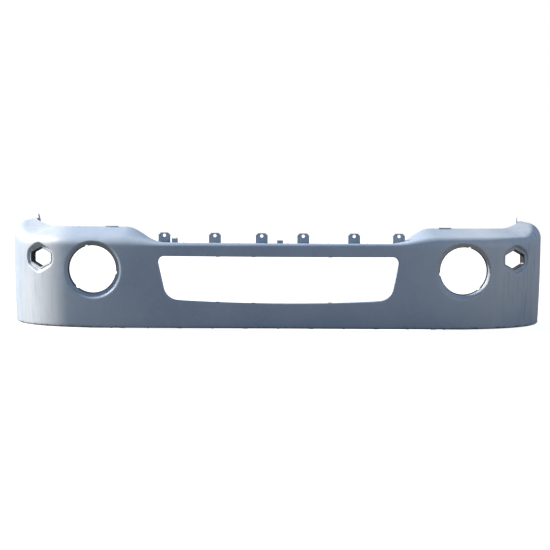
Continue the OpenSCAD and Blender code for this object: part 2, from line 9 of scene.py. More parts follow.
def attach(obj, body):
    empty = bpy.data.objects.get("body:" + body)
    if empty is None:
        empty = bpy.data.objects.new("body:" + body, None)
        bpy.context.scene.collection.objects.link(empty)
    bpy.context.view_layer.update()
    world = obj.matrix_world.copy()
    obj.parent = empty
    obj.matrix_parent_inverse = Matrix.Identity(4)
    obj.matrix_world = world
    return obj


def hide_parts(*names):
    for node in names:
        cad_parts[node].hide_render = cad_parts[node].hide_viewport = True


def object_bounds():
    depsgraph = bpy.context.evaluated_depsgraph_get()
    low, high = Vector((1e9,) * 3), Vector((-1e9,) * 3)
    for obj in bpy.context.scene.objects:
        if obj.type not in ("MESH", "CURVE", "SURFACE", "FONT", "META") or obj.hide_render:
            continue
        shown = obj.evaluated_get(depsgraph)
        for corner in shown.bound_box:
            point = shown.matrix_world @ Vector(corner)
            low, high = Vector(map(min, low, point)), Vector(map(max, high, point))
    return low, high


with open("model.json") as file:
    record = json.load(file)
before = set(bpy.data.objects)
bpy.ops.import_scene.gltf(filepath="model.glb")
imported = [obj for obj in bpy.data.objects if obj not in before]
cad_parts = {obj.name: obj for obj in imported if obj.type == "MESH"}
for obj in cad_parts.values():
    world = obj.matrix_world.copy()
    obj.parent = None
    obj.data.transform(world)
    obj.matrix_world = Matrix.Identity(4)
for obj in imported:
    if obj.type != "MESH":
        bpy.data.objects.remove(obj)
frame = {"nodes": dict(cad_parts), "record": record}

CAD_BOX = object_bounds()

# ---------------------------------------------------------------------------------------------
# Dimensions of the moulding, in millimetres, as in the CAD. Its front is at Y = 0 until to_row().
# ---------------------------------------------------------------------------------------------
MM = 0.001
HALF_W = 945.0
CROWN_R = 2400.0
CORNER_R = 330.0
WING_L = 56.0
WALL = 3.0
ARCH_H = 8.0
TUCK = 7.0
LOWER_FLANGE_D = 26.0
LOW_EDGE_R = 8.0

LIP, SHOULDER, WING = range(3)
ROLL_Z = (276.0, 276.0, 304.0)
ROLL_R = (13.0, 38.0, 56.0)
LEDGE_D = (52.0, 105.0, 76.0)
LEDGE_A = (0.0, 19.0, 12.0)

CROWN_A = math.asin((HALF_W - CORNER_R) / (CROWN_R - CORNER_R))
CROWN_S = CROWN_R * CROWN_A
CORNER_S = CORNER_R * (math.pi / 2 - CROWN_A)
WING_Y = CROWN_R * (1 - math.cos(CROWN_A)) + CORNER_R * math.cos(CROWN_A)
WING_S = CROWN_S + CORNER_S
END_S = WING_S + WING_L
REAR_Y = WING_Y + WING_L

LIP_END_S = 385.0
SHOULDER_START_S = 542.0
SHOULDER_END_S = CROWN_S + 0.42 * CORNER_S
WING_START_S = CROWN_S + 0.92 * CORNER_S
ARCH_END_S = 640.0

INTAKE_W = 798.0
INTAKE_TOP_Z = 245.0
INTAKE_LOW_Z = 92.0
INTAKE_TOP_R = 20.0
INTAKE_LOW_R = 50.0
INTAKE_LOW_RISE = 8.0
INTAKE_LOW_X = INTAKE_W / 2 - 68
INTAKE_SAG_R = 7500.0
INTAKE_FLANGE_ROWS = (12.0, 16.0, 20.0)
INTAKE_EDGE_R = 5.0
INTAKE_SAG_STEPS = 40
INTAKE_COLUMNS = 340

FOG_X = 629.0
FOG_Z = 196.0
FOG_DEPTH = 42.0
FOG_WELL_R = 82.0
FOG_TAPER = 0.295
FOG_FLANGE_R = 104.0
FOG_FLANGE_T = 3.0
FOG_EDGE_R = 6.0
FOG_COLUMNS = 240
FOG_WALL_ROWS = 6
NOTCH_R = 7.0
NOTCH_AT_R = 77.0
NOTCH_ANGLES = [math.radians(a) for a in (75, 188, 311)]

MARKER_X = 819.0
MARKER_Z = 234.0
MARKER_W = 96.0
MARKER_H = 72.0
MARKER_R = 8.0
MARKER_A = math.radians(36)
HEX_SIDE = 0.45
DISH_W = 132.0
DISH_H = 98.0
DISH_TALLER = 1.1
DISH_ROUND_R = 34.0
DISH_DEPTH = 14.0
DISH_FLOOR_SCALE = 0.9
DISH_FRONT_SCALE = 1.44
DISH_FRONT = 40.0
DISH_SLICE = 1.0
DISH_EDGE_R = 5.0
BEAD_W = 5.0
BEAD_H = 1.6
# Where the rounding of the dish starts and ends on its flank, and ends on its floor
FLANK_SHARES = (0.35, 0.62)
FLOOR_SHARE = 0.45
# The bead's points: share of the way in to the opening, share of the bead's height
BEAD_ROWS = ((0.25, 0.65), (0.45, 1.0), (0.75, 1.0), (1.0, 0.5))
MARKER_COLUMNS = 144

ARCH_FLANGE_W = 24.0
ARCH_FLANGE_Z = (14.0, 268.0)
ARCH_FLANGE_INSET = 0.5
ARCH_FLANGE_ROWS = 12
LAMP_REST_S = 600.0
LAMP_REST_W = 46.0
LAMP_REST_H = 2.5
LAMP_REST_INSET = 1.0
LAMP_REST_EDGE_R = 0.8

# Width of the softened edges of the frame's nodes, and the angles past which an edge is softened there
# or shaded sharp on the skin
EDGE_BREAK = 0.35
EDGE_BREAK_A = math.radians(40)
SMOOTH_A = math.radians(38)

# The mesh of the skin: its columns' spacing, its rows up the section, and its gap round each opening
GRID = 9.0
FLANGE_ROWS = 3
LOW_EDGE_ROWS = 6
FACE_ROWS = 29
ROLL_ROWS = 12
LEDGE_ROWS = 8
LOOP_STEP = 5.0

# Rounds of the two searches for where a line, or the edge of an opening, meets the face
MEET_ROUNDS = 24
EDGE_ROUNDS = 6


def to_row(p):
    """A point of the drawing in millimetres, with its front at Y = 0, in the row frame in metres."""
    return Vector((p[0] * MM, p[1] * MM + CAD_BOX[0].y, p[2] * MM))


def mix(a, b, t):
    return a + (b - a) * t


def ease(t):
    t = max(0.0, min(1.0, t))
    return t * t * (3 - 2 * t)


def along(s, values):
    """One of the ledge's dimensions at arc length s: lip in the middle, then shoulder, then wing."""
    a = abs(s)
    to_shoulder = ease((a - LIP_END_S) / (SHOULDER_START_S - LIP_END_S))
    to_wing = ease((a - SHOULDER_END_S) / (WING_START_S - SHOULDER_END_S))
    return mix(mix(values[LIP], values[SHOULDER], to_shoulder), values[WING], to_wing)


def heading(s):
    if s < CROWN_S:
        return s / CROWN_R
    return min(math.pi / 2, CROWN_A + (s - CROWN_S) / CORNER_R)


def place(s, inward, z):
    """The point at arc length s along the plan curve, a distance in from it, at height z."""
    a = abs(s)
    side = -1 if s < 0 else 1
    h = heading(a)
    if a < CROWN_S:
        x = CROWN_R * math.sin(h)
        y = CROWN_R * (1 - math.cos(h))
    else:
        x = HALF_W - CORNER_R * (1 - math.sin(h))
        y = WING_Y - CORNER_R * math.cos(h) + max(0.0, a - WING_S)
    return Vector((side * (x - inward * math.sin(h)), y + inward * math.cos(h), z))


def plan_of(x, y):
    """Arc length and distance in from the plan curve of a point seen from above."""
    side = -1 if x < 0 else 1
    x = abs(x)
    h = math.atan2(x, CROWN_R - y)
    if h < CROWN_A:
        return side * CROWN_R * h, CROWN_R - math.hypot(x, CROWN_R - y)
    centre_x = HALF_W - CORNER_R
    if y < WING_Y:
        h = math.atan2(x - centre_x, WING_Y - y)
        inward = CORNER_R - math.hypot(x - centre_x, WING_Y - y)
        return side * (CROWN_S + (h - CROWN_A) * CORNER_R), inward
    return side * (WING_S + y - WING_Y), HALF_W - x


def low_z(s):
    return ARCH_H * (1 - min(1.0, abs(s) / ARCH_END_S) ** 2)


def inward_at(s, z):
    """How far the face and its roll are in from the plan curve at height z."""
    start = along(s, ROLL_Z)
    if z <= start:
        base = low_z(s) + LOW_EDGE_R
        return TUCK * (1 - (z - base) / (start - base)) ** 2
    r = along(s, ROLL_R)
    return r - math.sqrt(max(0.0, r * r - (z - start) ** 2))


def length_at(s, z):
    """Length up the section from the foot of the roll to height z."""
    start = along(s, ROLL_Z)
    if z <= start:
        return z - start
    r = along(s, ROLL_R)
    return r * math.asin(min(1.0, (z - start) / r))


def ledge_end_z(s):
    """Height of the ledge's rear edge at arc length s."""
    r = along(s, ROLL_R)
    a = math.radians(along(s, LEDGE_A))
    flat_d = along(s, LEDGE_D) - r * (1 - math.sin(a))
    return along(s, ROLL_Z) + r * math.cos(a) + flat_d * math.tan(a)


def section(s):
    """The section at arc length s as (length, in, height), from the lower flange to the ledge's edge."""
    return lower_edge(s) + face_and_roll(s) + ledge(s)


def lower_edge(s):
    """The lower flange and the rounded edge above it, without the face's first point."""
    low = low_z(s)
    base = low + LOW_EDGE_R
    base_v = base - along(s, ROLL_Z)
    rows = []
    for i in range(FLANGE_ROWS):
        inward = mix(TUCK + LOWER_FLANGE_D, TUCK + LOW_EDGE_R, i / FLANGE_ROWS)
        rows.append((base_v - LOW_EDGE_R * math.pi / 2 - (inward - TUCK - LOW_EDGE_R), inward, low))
    for i in range(LOW_EDGE_ROWS + 1):
        b = math.pi / 2 * (1 - i / LOW_EDGE_ROWS)
        inward = TUCK + LOW_EDGE_R * (1 - math.cos(b))
        rows.append((base_v - LOW_EDGE_R * b, inward, base - LOW_EDGE_R * math.sin(b)))
    return rows


def face_and_roll(s):
    """The face above the rounded edge, and the roll that turns it into the ledge."""
    r = along(s, ROLL_R)
    start = along(s, ROLL_Z)
    rows = []
    for i in range(1, FACE_ROWS):
        z = mix(low_z(s) + LOW_EDGE_R, start, i / FACE_ROWS)
        rows.append((z - start, inward_at(s, z), z))
    turn = math.pi / 2 - math.radians(along(s, LEDGE_A))
    for i in range(ROLL_ROWS + 1):
        b = turn * i / ROLL_ROWS
        rows.append((r * b, r * (1 - math.cos(b)), start + r * math.sin(b)))
    return rows


def ledge(s):
    """The sloping ledge behind the roll."""
    r = along(s, ROLL_R)
    a = math.radians(along(s, LEDGE_A))
    top_in = r * (1 - math.sin(a))
    top_z = along(s, ROLL_Z) + r * math.cos(a)
    top_v = r * (math.pi / 2 - a)
    rows = []
    for i in range(1, LEDGE_ROWS + 1):
        inward = mix(top_in, along(s, LEDGE_D), i / LEDGE_ROWS)
        back = inward - top_in
        rows.append((top_v + back / math.cos(a), inward, top_z + back * math.tan(a)))
    return rows


class Opening:
    """A frame for an opening: across, up and inwards from a point on the face."""

    def __init__(self, x, z, side=1, turn=0.0):
        s = CROWN_R * math.asin(x / CROWN_R)
        if s > CROWN_S:
            s = CROWN_S + CORNER_R * (math.asin(1 - (HALF_W - x) / CORNER_R) - CROWN_A)
        self.origin = Vector((side * x, place(s, 0, z).y, z))
        self.across = Vector((math.cos(turn), side * math.sin(turn), 0))
        self.up = Vector((0, 0, 1))
        self.inwards = Vector((-side * math.sin(turn), math.cos(turn), 0))

    def at(self, p, q, w):
        return self.origin + self.across * p + self.up * q + self.inwards * w

    def depth_of(self, p, q, inward=None):
        """How deep along the axis the line through (p, q) meets the face, or a distance in from it."""
        w = 0.0
        for _ in range(MEET_ROUNDS):
            point = self.at(p, q, w)
            s, now = plan_of(point.x, point.y)
            want = inward_at(s, point.z) if inward is None else inward
            h = heading(abs(s))
            side = -1 if s < 0 else 1
            slope = self.inwards.x * -side * math.sin(h) + self.inwards.y * math.cos(h)
            w += (want - now) / max(0.4, slope)
        return w


def bezier(a, b, c, steps):
    """Points of a rounded edge from a to c with its corner at b, without a itself."""
    points = []
    for i in range(1, steps + 1):
        t = i / steps
        points.append(a * (1 - t) ** 2 + b * 2 * t * (1 - t) + c * t * t)
    return points


def resample(loop, count):
    """The closed 2D loop as count points at equal distances, starting at its rightmost point."""
    first = max(range(len(loop)), key=lambda i: (loop[i][0], -abs(loop[i][1])))
    loop = [Vector(p) for p in loop[first:] + loop[:first]]
    loop.append(loop[0])
    reach = [0.0]
    for a, b in zip(loop, loop[1:]):
        reach.append(reach[-1] + (b - a).length)
    out, k = [], 0
    for i in range(count):
        d = reach[-1] * i / count
        while reach[k + 1] < d:
            k += 1
        out.append(loop[k].lerp(loop[k + 1], (d - reach[k]) / max(1e-9, reach[k + 1] - reach[k])))
    return out


def grown(loop, by):
    """The counter-clockwise 2D loop moved outwards by a distance."""
    out = []
    n = len(loop)
    for i, p in enumerate(loop):
        t = (loop[(i + 1) % n] - loop[i - 1]).normalized()
        out.append(p + Vector((t.y, -t.x)) * by)
    return out


def rounded(corners, r, steps=10):
    """A counter-clockwise polygon with every corner rounded."""
    out = []
    n = len(corners)
    for i, c in enumerate(corners):
        c = Vector(c)
        a = (Vector(corners[i - 1]) - c).normalized()
        b = (Vector(corners[(i + 1) % n]) - c).normalized()
        half = a.angle(b) / 2
        back = r / math.tan(half)
        centre = c + (a + b).normalized() * r / math.sin(half)
        start, end = c + a * back - centre, c + b * back - centre
        turn = start.angle_signed(end)
        for k in range(steps + 1):
            out.append(centre + Matrix.Rotation(-turn * k / steps, 2) @ start)
    return out


def six_sides(w, h, r):
    corners = [(1, HEX_SIDE), (0, 1), (-1, HEX_SIDE), (-1, -HEX_SIDE), (0, -1), (1, -HEX_SIDE)]
    return rounded([(x * w / 2, y * h / 2) for x, y in corners], r)


def inside(point, loop):
    x, y = point[0], point[1]
    hit = False
    for a, b in zip(loop, loop[1:] + loop[:1]):
        if (a[1] > y) != (b[1] > y) and x < (b[0] - a[0]) * (y - a[1]) / (b[1] - a[1]) + a[0]:
            hit = not hit
    return hit


# ---------------------------------------------------------------------------------------------
# Rings of points that carry the skin from the face into each opening
# ---------------------------------------------------------------------------------------------
def arc(x, z, r, start, end, steps):
    """Points of an arc round (x, z), both ends included."""
    angles = [mix(start, end, i / steps) for i in range(steps + 1)]
    return [(x + r * math.cos(a), z + r * math.sin(a)) for a in angles]


def intake_outline():
    """The air intake as seen from in front, counter-clockwise: leaning sides and a sagging lower edge."""
    low = INTAKE_LOW_Z + INTAKE_LOW_RISE
    upper_x, upper_z = INTAKE_W / 2 - INTAKE_TOP_R, INTAKE_TOP_Z - INTAKE_TOP_R
    lower_z = low + INTAKE_LOW_R
    # The sides lean in towards the lower corners, so that both arcs of a side touch them
    lean = math.atan2(upper_x - INTAKE_LOW_X, upper_z - lower_z)
    reach = math.hypot(upper_x - INTAKE_LOW_X, upper_z - lower_z)
    lean -= math.asin((INTAKE_LOW_R - INTAKE_TOP_R) / reach)
    upper = arc(upper_x, upper_z, INTAKE_TOP_R, -lean, math.pi / 2, 12)
    lower = arc(INTAKE_LOW_X, lower_z, INTAKE_LOW_R, -math.pi / 2, -lean, 16)
    sag = []
    for i in range(1, INTAKE_SAG_STEPS):
        x = mix(-INTAKE_LOW_X, INTAKE_LOW_X, i / INTAKE_SAG_STEPS)
        sag.append((x, INTAKE_LOW_Z + x * x / (2 * INTAKE_SAG_R)))
    mirrored = [(-x, z) for x, z in reversed(lower + upper)]
    return resample(upper + mirrored + sag + lower, INTAKE_COLUMNS)


def intake_rings():
    """From the face, round the edge of the intake and back along its flange."""
    opening = Opening(0.0, 0.0)
    outline = intake_outline()
    outer = grown(outline, INTAKE_EDGE_R)
    rings = [[opening.at(p.x, p.y, opening.depth_of(p.x, p.y)) for p in outer]]
    edges = []
    for a, p in zip(rings[0], outline):
        w = opening.depth_of(p.x, p.y)
        edges.append(bezier(a, opening.at(p.x, p.y, w), opening.at(p.x, p.y, w + INTAKE_EDGE_R), 6))
    rings += [list(ring) for ring in zip(*edges)]
    for inward in INTAKE_FLANGE_ROWS:
        rings.append([opening.at(p.x, p.y, opening.depth_of(p.x, p.y, inward)) for p in outline])
    return rings


def floor_reach(a, side):
    """Radius of the well's floor at angle a as seen from the front: the bore, or the bottom of a notch."""
    reach = FOG_WELL_R
    for notch in NOTCH_ANGLES:
        turn = a - (notch if side > 0 else math.pi - notch)
        off = NOTCH_AT_R * math.sin(turn)
        if math.cos(turn) > 0 and abs(off) < NOTCH_R:
            reach = max(reach, NOTCH_AT_R * math.cos(turn) + math.sqrt(NOTCH_R**2 - off**2))
    return reach


def well_radius(depth):
    """Radius of the well's tapered wall at a depth behind the face."""
    return FOG_WELL_R + FOG_TAPER * (FOG_DEPTH - depth)


def fog_column(opening, a, side):
    """Points of the well at angle a: from the face over its edge, down its wall and out to its flange."""
    across, up = math.cos(a), math.sin(a)

    def point(r, depth):
        return opening.at(r * across, r * up, depth)

    edge_w, edge_r = 0.0, FOG_WELL_R
    for _ in range(EDGE_ROUNDS):
        edge_r = well_radius(edge_w)
        edge_w = opening.depth_of(edge_r * across, edge_r * up)
    outer_r = edge_r + FOG_EDGE_R
    start = point(outer_r, opening.depth_of(outer_r * across, outer_r * up))
    wall_w = edge_w + FOG_EDGE_R
    column = [start] + bezier(start, point(edge_r, edge_w), point(well_radius(wall_w), wall_w), 8)
    for k in range(1, FOG_WALL_ROWS):
        depth = mix(wall_w, FOG_DEPTH, k / FOG_WALL_ROWS)
        column.append(point(well_radius(depth), depth))
    floor_r = floor_reach(a, side)
    column.append(point(floor_r, FOG_DEPTH))
    for r in (floor_r, mix(floor_r, FOG_FLANGE_R, 0.5), FOG_FLANGE_R):
        column.append(point(r, FOG_DEPTH + FOG_FLANGE_T))
    return column


def fog_rings(side):
    opening = Opening(FOG_X, FOG_Z, side)
    angles = [2 * math.pi * i / FOG_COLUMNS for i in range(FOG_COLUMNS)]
    return [list(ring) for ring in zip(*[fog_column(opening, a, side) for a in angles])]


def spokes(loop, count):
    """Where evenly spaced rays from the centre meet the closed 2D loop."""
    out = []
    for i in range(count):
        ray = Vector((math.cos(2 * math.pi * i / count), math.sin(2 * math.pi * i / count)))
        for p, q in zip(loop, loop[1:] + loop[:1]):
            p, q = Vector(p), Vector(q)
            c, d = ray.x * p.y - ray.y * p.x, ray.x * q.y - ray.y * q.x
            if c <= 0 < d:
                out.append(p.lerp(q, c / (c - d)))
                break
    return out


def dish_scale(depth):
    """How much wider than its nominal outline the dish is at a depth behind the face."""
    flank = (DISH_FRONT_SCALE - DISH_FLOOR_SCALE) / (DISH_DEPTH + DISH_FRONT - 2 * DISH_SLICE)
    return DISH_FLOOR_SCALE + flank * (DISH_DEPTH - DISH_SLICE - depth)


def dish_outline():
    """A six-sided outline with very round corners, brought to the dish's width and height."""
    shape = six_sides(DISH_W, DISH_H * DISH_TALLER, DISH_ROUND_R)
    wide = max(p.x for p in shape)
    high = max(p.y for p in shape)
    return [(p.x / wide * DISH_W / 2, p.y / high * DISH_H / 2) for p in shape]


def marker_column(opening, p, bead, hexagon):
    """Points along one ray of the dish: over its edge, down its flank, over the bead, into the opening."""

    def point(q, depth):
        return opening.at(q.x, q.y, depth)

    edge_w, scale = 0.0, 1.0
    for _ in range(EDGE_ROUNDS):
        scale = dish_scale(edge_w)
        edge_w = opening.depth_of(p.x * scale, p.y * scale)
    out = p * scale + p.normalized() * DISH_EDGE_R
    start = point(out, opening.depth_of(out.x, out.y))
    upper, lower = (mix(edge_w, DISH_DEPTH, share) for share in FLANK_SHARES)
    column = [start] + bezier(start, point(p * scale, edge_w), point(p * dish_scale(upper), upper), 6)
    column.append(point(p * dish_scale(lower), lower))
    corner = p * dish_scale(DISH_DEPTH)
    level = point(corner.lerp(bead, FLOOR_SHARE), DISH_DEPTH)
    column += bezier(column[-1], point(corner, DISH_DEPTH), level, 5)
    column.append(point(bead, DISH_DEPTH))
    for share, height in BEAD_ROWS:
        column.append(point(bead.lerp(hexagon, share), DISH_DEPTH - BEAD_H * height))
    column.append(point(hexagon, DISH_DEPTH + WALL))
    return column


def marker_rings(side):
    opening = Opening(MARKER_X, MARKER_Z, side, MARKER_A)
    dish = spokes(dish_outline(), MARKER_COLUMNS)
    bead_outline = six_sides(MARKER_W + 2 * BEAD_W, MARKER_H + 2 * BEAD_W, MARKER_R + BEAD_W)
    beads = spokes(bead_outline, MARKER_COLUMNS)
    hexagon = spokes(six_sides(MARKER_W, MARKER_H, MARKER_R), MARKER_COLUMNS)
    columns = [marker_column(opening, p, bead, h) for p, bead, h in zip(dish, beads, hexagon)]
    return [list(ring) for ring in zip(*columns)]


class Cut:
    """An opening in the sheet: its rings of points, and its rim as (arc length, length up the section)."""

    def __init__(self, rings):
        self.rings = rings
        self.loop = []
        for p in rings[0]:
            s = plan_of(p.x, p.y)[0]
            self.loop.append((s, length_at(s, p.z)))
        self.low = [min(p[k] for p in self.loop) for k in range(2)]
        self.high = [max(p[k] for p in self.loop) for k in range(2)]

    def boxed(self, s, v, margin=0.0):
        return (self.low[0] - margin < s < self.high[0] + margin
                and self.low[1] - margin < v < self.high[1] + margin)

    def covers(self, s, v):
        return self.boxed(s, v) and inside((s, v), self.loop)

    def crowds(self, s, v):
        """Whether a point is in the opening or too near its rim for an even mesh."""
        if not self.boxed(s, v, LOOP_STEP):
            return False
        near = min((s - a) ** 2 + (v - b) ** 2 for a, b in self.loop)
        return near < LOOP_STEP**2 or inside((s, v), self.loop)


def sheet_grid(cuts):
    """The sheet's own points, flat and solid, clear of the openings, with the edges of its border."""
    columns = int(2 * END_S / GRID)
    stations = [mix(-END_S, END_S, i / columns) for i in range(columns + 1)]
    flat, solid, index = [], [], {}
    for i, s in enumerate(stations):
        rows = section(s)
        for j, (v, inward, z) in enumerate(rows):
            if not any(cut.crowds(s, v) for cut in cuts):
                index[i, j] = len(flat)
                flat.append(Vector((s, v)))
                solid.append(place(s, inward, z))
    top = len(rows) - 1
    border = [(i, 0) for i in range(columns)] + [(columns, j) for j in range(top)]
    border += [(i, top) for i in range(columns, 0, -1)] + [(0, j) for j in range(top, 0, -1)]
    border = [index[key] for key in border]
    return flat, solid, list(zip(border, border[1:] + border[:1]))


def add_rings(points, faces, rim, rings):
    """Carries the sheet on from the rim of an opening through each deeper ring."""
    n = len(rim)
    for ring in rings:
        deeper = list(range(len(points), len(points) + n))
        points += ring
        for k in range(n):
            m = (k + 1) % n
            faces.append((rim[k], rim[m], deeper[m], deeper[k]))
        rim = deeper


def skin_sheet():
    """Points and faces of the visible side of the moulding, as one open sheet."""
    cuts = [Cut(intake_rings())]
    for side in (-1, 1):
        cuts += [Cut(fog_rings(side)), Cut(marker_rings(side))]
    flat, solid, edges = sheet_grid(cuts)
    firsts = []
    for cut in cuts:
        first = len(flat)
        n = len(cut.loop)
        firsts.append(first)
        flat += [Vector(p) for p in cut.loop]
        solid += cut.rings[0]
        edges += [(first + k, first + (k + 1) % n) for k in range(n)]
    corners, _, triangles, origins = geometry.delaunay_2d_cdt(flat, edges, [], 1, 1e-5)[:4]
    points = [solid[ids[0]] for ids in origins]
    where = {old: new for new, ids in enumerate(origins) for old in ids}
    faces = []
    for face in triangles:
        middle = sum((corners[k] for k in face), Vector((0, 0))) / len(face)
        if not any(cut.covers(middle.x, middle.y) for cut in cuts):
            faces.append(tuple(face))
    for cut, first in zip(cuts, firsts):
        rim = [where[first + k] for k in range(len(cut.loop))]
        add_rings(points, faces, rim, cut.rings[1:])
    return points, faces


def new_object(name, points, faces):
    mesh = bpy.data.meshes.new(name)
    mesh.from_pydata([to_row(p) for p in points], [], faces)
    obj = bpy.data.objects.new(name, mesh)
    bpy.context.scene.collection.objects.link(obj)
    return obj


def apply_modifiers(obj):
    bpy.context.view_layer.update()
    shown = obj.evaluated_get(bpy.context.evaluated_depsgraph_get())
    mesh = bpy.data.meshes.new_from_object(shown)
    obj.modifiers.clear()
    obj.data = mesh


def smooth(obj):
    for polygon in obj.data.polygons:
        polygon.use_smooth = True
    obj.data.set_sharp_from_angle(angle=SMOOTH_A)


def build_skin():
    points, faces = skin_sheet()
    skin = new_object("moulded_skin", points, faces)
    solidify = skin.modifiers.new("wall", "SOLIDIFY")
    solidify.thickness = WALL * MM
    solidify.offset = -1
    solidify.material_offset = 1
    return skin


def box_piece(lo, hi, bevel, matrix):
    """A box with rounded edges, in millimetres, as a bmesh."""
    bm = bmesh.new()
    bmesh.ops.create_cube(bm, size=1)
    for v in bm.verts:
        v.co = Vector([mix(lo[k], hi[k], v.co[k] + 0.5) for k in range(3)])
    bmesh.ops.bevel(bm, geom=bm.edges[:], offset=bevel, segments=2, profile=0.5, affect="EDGES")
    bmesh.ops.transform(bm, matrix=matrix, verts=bm.verts)
    return bm


def frame_matrix(origin, x, y, z):
    rows = [[x[k], y[k], z[k], origin[k]] for k in range(3)]
    return Matrix(rows + [[0, 0, 0, 1]])


def add_to(obj, pieces):
    """Joins closed bmesh pieces, drawn in millimetres, to an object."""
    whole = bmesh.new()
    whole.from_mesh(obj.data)
    for bm in pieces:
        for v in bm.verts:
            v.co = to_row(v.co)
        mesh = bpy.data.meshes.new("part")
        bm.to_mesh(mesh)
        bm.free()
        whole.from_mesh(mesh)
        bpy.data.meshes.remove(mesh)
    whole.to_mesh(obj.data)
    whole.free()


# ---------------------------------------------------------------------------------------------
# Procedural finishes
# ---------------------------------------------------------------------------------------------
class Finish:
    """A material being built: each call adds a node and returns one of its outputs."""

    def __init__(self, name):
        self.material = bpy.data.materials.new(name)
        self.material.use_nodes = True
        self.tree = self.material.node_tree
        self.shader = self.tree.nodes["Principled BSDF"]
        self.coords = self.node("ShaderNodeTexCoord", "Object")

    def node(self, kind, output, settings=None, **inputs):
        node = self.tree.nodes.new(kind)
        for key, value in (settings or {}).items():
            setattr(node, key, value)
        for key, value in inputs.items():
            self.put(node.inputs[key.replace("_", " ")], value)
        return node.outputs[output]

    def put(self, socket, value):
        if isinstance(value, bpy.types.NodeSocket):
            self.tree.links.new(value, socket)
        else:
            socket.default_value = value

    def set(self, name, value):
        self.put(self.shader.inputs[name], value)

    def noise(self, scale, detail=3.0, roughness=0.55, stretch=None):
        where = self.coords
        if stretch:
            where = self.node("ShaderNodeMapping", "Vector", Vector=where, Scale=stretch)
        return self.node("ShaderNodeTexNoise", "Fac",
                         Vector=where, Scale=scale, Detail=detail, Roughness=roughness)

    def span(self, value, from_min, from_max, to_min=0.0, to_max=1.0):
        node = self.tree.nodes.new("ShaderNodeMapRange")
        node.interpolation_type = "SMOOTHSTEP"
        for key, number in zip(range(1, 5), (from_min, from_max, to_min, to_max)):
            node.inputs[key].default_value = number
        self.put(node.inputs[0], value)
        return node.outputs[0]

    def math(self, operation, a, b=0.0):
        node = self.tree.nodes.new("ShaderNodeMath")
        node.operation = operation
        self.put(node.inputs[0], a)
        self.put(node.inputs[1], b)
        return node.outputs[0]

    def blend(self, amount, a, b):
        node = self.tree.nodes.new("ShaderNodeMix")
        node.data_type = "RGBA"
        self.put(node.inputs["Factor"], amount)
        for key, value in (("A", a), ("B", b)):
            socket = [i for i in node.inputs if i.name == key and i.type == "RGBA"][0]
            self.put(socket, value if isinstance(value, bpy.types.NodeSocket) else (*value, 1))
        return [o for o in node.outputs if o.type == "RGBA"][0]

    def axis(self, source, name):
        return self.node("ShaderNodeSeparateXYZ", name, Vector=source)

    def bump(self, height, strength, distance, below=None):
        node = self.tree.nodes.new("ShaderNodeBump")
        node.inputs["Strength"].default_value = strength
        node.inputs["Distance"].default_value = distance
        self.put(node.inputs["Height"], height)
        if below:
            self.put(node.inputs["Normal"], below)
        return node.outputs["Normal"]


PRIMER = (0.290, 0.335, 0.385)
PRIMER_DUSTY = (0.345, 0.375, 0.405)
PRIMER_DEEP = (0.250, 0.300, 0.360)
# Light grey for the ends: partly dust, partly painted light
PRIMER_DUST_AND_LIGHT = (0.470, 0.480, 0.480)
BARE_PLASTIC = (0.06, 0.062, 0.066)


def dust_and_painted_light(f):
    """Lighter primer on both ends, further in on the right and thinner on the outermost left: partly
    settled dust, partly painted light that brightens the ends.
    """
    x = f.axis(f.coords, "X")
    left = f.math("MULTIPLY", f.span(x, -0.78, -0.69, 1.0, 0.0), f.span(x, -0.92, -0.84, 0.2, 1.0))
    lighter_ends = f.math("ADD", f.span(x, 0.40, 0.76), left)
    return f.math("MULTIPLY", lighter_ends, f.span(f.noise(3.0, 4.0, 0.6), 0.30, 0.62, 0.55, 1.0))


def wipe_marks(f):
    """Mostly upright streaks on both ends."""
    ends = f.span(f.math("ABSOLUTE", f.axis(f.coords, "X")), 0.66, 0.90)
    streaks = f.span(f.noise(6.0, 5.0, 0.62, (9.0, 9.0, 1.1)), 0.47, 0.66)
    return f.math("MULTIPLY", streaks, f.math("MULTIPLY", ends, 0.62))


def standing_scuffs(f):
    """Scuffs along the lower edge, where the cover stands."""
    low = f.span(f.axis(f.coords, "Z"), 0.001, 0.012, 1.0, 0.0)
    return f.math("MULTIPLY", low, f.span(f.noise(38.0, 4.0, 0.7), 0.50, 0.62))


def primer(name):
    """Sprayed satin primer, with faint orange peel."""
    f = Finish(name)
    clouds = f.span(f.noise(4.0, 5.0, 0.6), 0.36, 0.66)
    mottle = f.span(f.noise(55.0, 4.0, 0.6), 0.42, 0.72)
    marks = wipe_marks(f)
    colour = f.blend(clouds, PRIMER_DEEP, PRIMER)
    colour = f.blend(f.math("MULTIPLY", mottle, 0.30), colour, PRIMER_DUSTY)
    # The ends lightened, partly by settled dust and partly by painted light
    colour = f.blend(f.math("MULTIPLY", dust_and_painted_light(f), 0.75), colour, PRIMER_DUST_AND_LIGHT)
    colour = f.blend(marks, colour, PRIMER_DEEP)
    colour = f.blend(f.math("MULTIPLY", standing_scuffs(f), 0.8), colour, BARE_PLASTIC)
    f.set("Base Color", colour)
    rough = f.math("ADD", f.math("MULTIPLY", clouds, 0.07), 0.40)
    rough = f.math("ADD", rough, f.math("MULTIPLY", marks, 0.22))
    f.set("Roughness", f.math("ADD", rough, f.math("MULTIPLY", mottle, 0.06)))
    f.set("Specular IOR Level", 0.45)
    peel = f.bump(f.noise(520.0, 2.0, 0.5), 0.10, 0.0006)
    f.set("Normal", f.bump(f.noise(9.0, 2.0, 0.4), 0.12, 0.004, peel))
    return f.material


